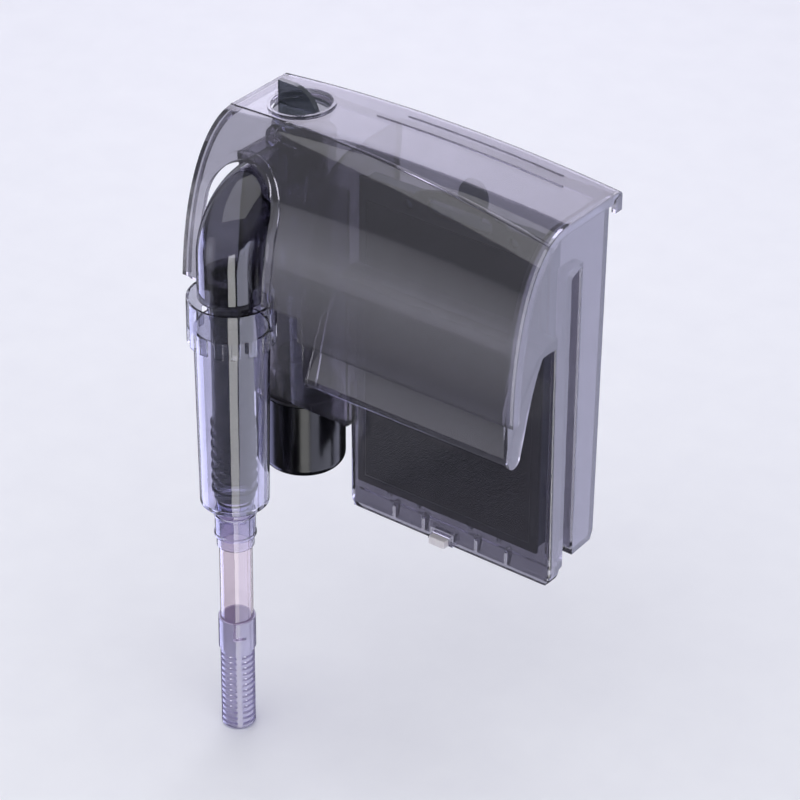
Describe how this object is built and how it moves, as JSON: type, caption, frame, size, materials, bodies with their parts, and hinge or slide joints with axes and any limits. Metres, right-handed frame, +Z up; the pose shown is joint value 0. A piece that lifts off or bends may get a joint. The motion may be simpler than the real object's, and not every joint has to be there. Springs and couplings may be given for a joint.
{
  "type": "hang on back aquarium filter",
  "caption": "Hang-on-back aquarium filter: smoky body with spill ramp and cover, side pump, U-pipe, floating skimmer, extension tube and slotted strainer.",
  "frame": {"origin": "on the flat underside of the spill ramp, where the filter rests on the tank's glass", "axes": "+Z up, +Y away from the tank, +X to the right seen from the tank"},
  "size_m": [0.22, 0.1182, 0.3813],
  "materials": {
    "smoky_plastic": "clear smoky moulded styrene",
    "lilac_plastic": "clear moulded plastic with a lilac tint",
    "pink_clear_plastic": "clear extruded tube",
    "gloss_black": "polished moulded ABS",
    "black_grid": "moulded polypropylene",
    "woven_mat": "open woven filter mat",
    "blue_grey_plastic": "moulded polypropylene",
    "carbon": "activated carbon granules",
    "floss": "polyester filter floss",
    "rubber": "nitrile rubber",
    "pale_rubber": "translucent silicone rubber",
    "ceramic": "ground alumina rod",
    "ferrite": "sintered ferrite magnet",
    "laminated_steel": "punched laminations",
    "copper": "enamelled wire"
  },
  "bodies": {
    "filter_body": {"filter_body": "smoky_plastic", "inlet_u_pipe": "smoky_plastic", "riser_pipe": "smoky_plastic", "skimmer_tube": "lilac_plastic", "neck_ring": "lilac_plastic"},
    "cover": {"dust_cover": "smoky_plastic"},
    "carbon_cartridge": {"cartridge_frame": "blue_grey_plastic", "carbon_bed": "carbon", "floss_pad": "floss"},
    "biogrid": {"biogrid_frame": "black_grid", "biogrid_mesh": "woven_mat"},
    "flow_control": {"flow_knob": "smoky_plastic", "flow_gate": "smoky_plastic"},
    "pump": {"pump_housing": "gloss_black", "well_plate": "gloss_black", "impeller_cover": "smoky_plastic", "impeller_shaft": "ceramic", "lower_bush": "rubber", "upper_bush": "rubber", "stator_core": "laminated_steel", "coil_left": "copper", "coil_right": "copper", "pump_seal": "rubber", "nozzle_seal": "rubber", "cord_gland": "rubber"},
    "rotor": {"impeller": "gloss_black", "rotor_magnet": "ferrite"},
    "crown": {"skimmer_crown": "lilac_plastic"},
    "extension": {"extension_tube": "pink_clear_plastic"},
    "strainer": {"strainer": "lilac_plastic"},
    "adjuster": {"level_adjuster": "pale_rubber"}
  },
  "joints": [
    {"name": "cover_lift", "type": "slide", "parent": "filter_body", "child": "cover", "axis": [0, 0, 1], "range_m": [0, 0.12]},
    {"name": "cartridge_lift", "type": "slide", "parent": "filter_body", "child": "carbon_cartridge", "axis": [0, 0, 1], "range_m": [0, 0.09]},
    {"name": "biogrid_lift", "type": "slide", "parent": "filter_body", "child": "biogrid", "axis": [0, 0, 1], "range_m": [0, 0.06]},
    {"name": "flow_turn", "type": "hinge", "parent": "filter_body", "child": "flow_control", "pos_m": [-0.077, 0.023, 0], "axis": [0, 0, 1], "range_deg": [0, 150]},
    {"name": "pump_pull", "type": "slide", "parent": "filter_body", "child": "pump", "axis": [0, 0, -1], "range_m": [0, 0.025]},
    {"name": "impeller_spin", "type": "hinge", "parent": "pump", "child": "rotor", "pos_m": [-0.077, 0.023, -0.095], "axis": [0, 0, 1], "continuous": true},
    {"name": "crown_float", "type": "slide", "parent": "filter_body", "child": "crown", "axis": [0, 0, -1], "range_m": [0, 0.02]},
    {"name": "extension_pull", "type": "slide", "parent": "filter_body", "child": "extension", "axis": [0, 0, -1], "range_m": [0, 0.015]},
    {"name": "strainer_twist", "type": "hinge", "parent": "extension", "child": "strainer", "pos_m": [-0.077, -0.0387, -0.23], "axis": [0, 0, 1], "range_deg": [0, 40]},
    {"name": "level_push", "type": "slide", "parent": "filter_body", "child": "adjuster", "axis": [0, -1, 0], "range_m": [0, 0.005]}
  ],
  "couplings": [
    {"joint": "cartridge_lift", "follows": "cover_lift", "ratio": 0.75},
    {"joint": "biogrid_lift", "follows": "cover_lift", "ratio": 0.5}
  ]
}
